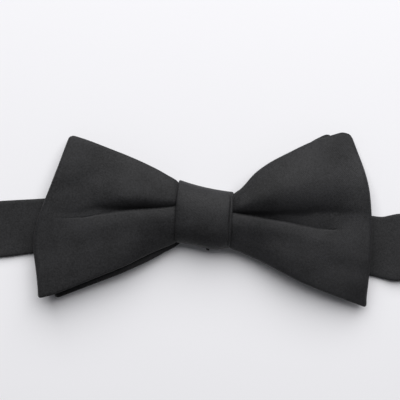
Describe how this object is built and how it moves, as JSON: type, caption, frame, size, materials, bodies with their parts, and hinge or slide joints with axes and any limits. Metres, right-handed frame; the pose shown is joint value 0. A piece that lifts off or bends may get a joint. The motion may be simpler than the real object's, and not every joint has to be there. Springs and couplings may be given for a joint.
{
  "type": "bow tie",
  "caption": "Pre-tied black bow tie with two stacked bows in a knot wrap on an adjustable hook-and-eye neckband.",
  "frame": {"origin": "centre of the back of the knot, on the plane that the tie lies on", "axes": "+X along the bow towards the adjustable side of the neckband, +Y up the face of the bow, +Z out of the face"},
  "size_m": [0.4171, 0.0665, 0.0136],
  "materials": {
    "black_satin": "matt black satin weave",
    "interlining": "plain canvas interlining",
    "thread": "black sewing thread",
    "nickel": "satin nickel-plated wire"
  },
  "bodies": {
    "band": {"neckband_shell": "black_satin", "neckband_interlining": "interlining", "eye_loop_stitching": "thread", "feed_run": "black_satin"},
    "bow": {"front_bow_shell": "black_satin", "front_bow_interlining": "interlining", "back_bow_shell": "black_satin", "back_bow_interlining": "interlining", "waist_binding": "thread", "knot_wrap": "black_satin", "knot_interlining": "interlining", "knot_closing_stitches": "thread"},
    "eye": {"eye_ring": "nickel"},
    "slide": {"adjuster_frame": "nickel", "strap_over_slide": "black_satin", "strap_sewn_end": "black_satin", "sewn_end_bartack": "thread"},
    "hook_end": {"outgoing_run": "black_satin", "return_run": "black_satin", "hook_fold": "black_satin"},
    "hook_fitting": {"hook": "nickel"}
  },
  "joints": [
    {"name": "bow_slide", "type": "slide", "parent": "band", "child": "bow", "axis": [1, 0, 0], "range_m": [-0.01, 0.01]},
    {"name": "eye_pivot", "type": "hinge", "parent": "band", "child": "eye", "pos_m": [-0.19254, -0.0126, 0.00275], "axis": [-0.0732, 0.9973, 0], "range_deg": [-45, 140]},
    {"name": "size_slide", "type": "slide", "parent": "band", "child": "slide", "axis": [0.9945, -0.1045, 0], "range_m": [-0.02, 0.1], "deforming": ["feed_run"]},
    {"name": "hook_feed", "type": "slide", "parent": "slide", "child": "hook_end", "axis": [0.9945, -0.1045, 0], "range_m": [-0.05, 0.01], "deforming": ["outgoing_run", "return_run"]},
    {"name": "hook_pivot", "type": "hinge", "parent": "hook_end", "child": "hook_fitting", "pos_m": [0.19426, -0.02391, 0.00275], "axis": [-0.1045, -0.9945, 0], "range_deg": [-45, 140]}
  ],
  "couplings": [
    {"joint": "hook_feed", "follows": "size_slide", "ratio": -0.5}
  ]
}
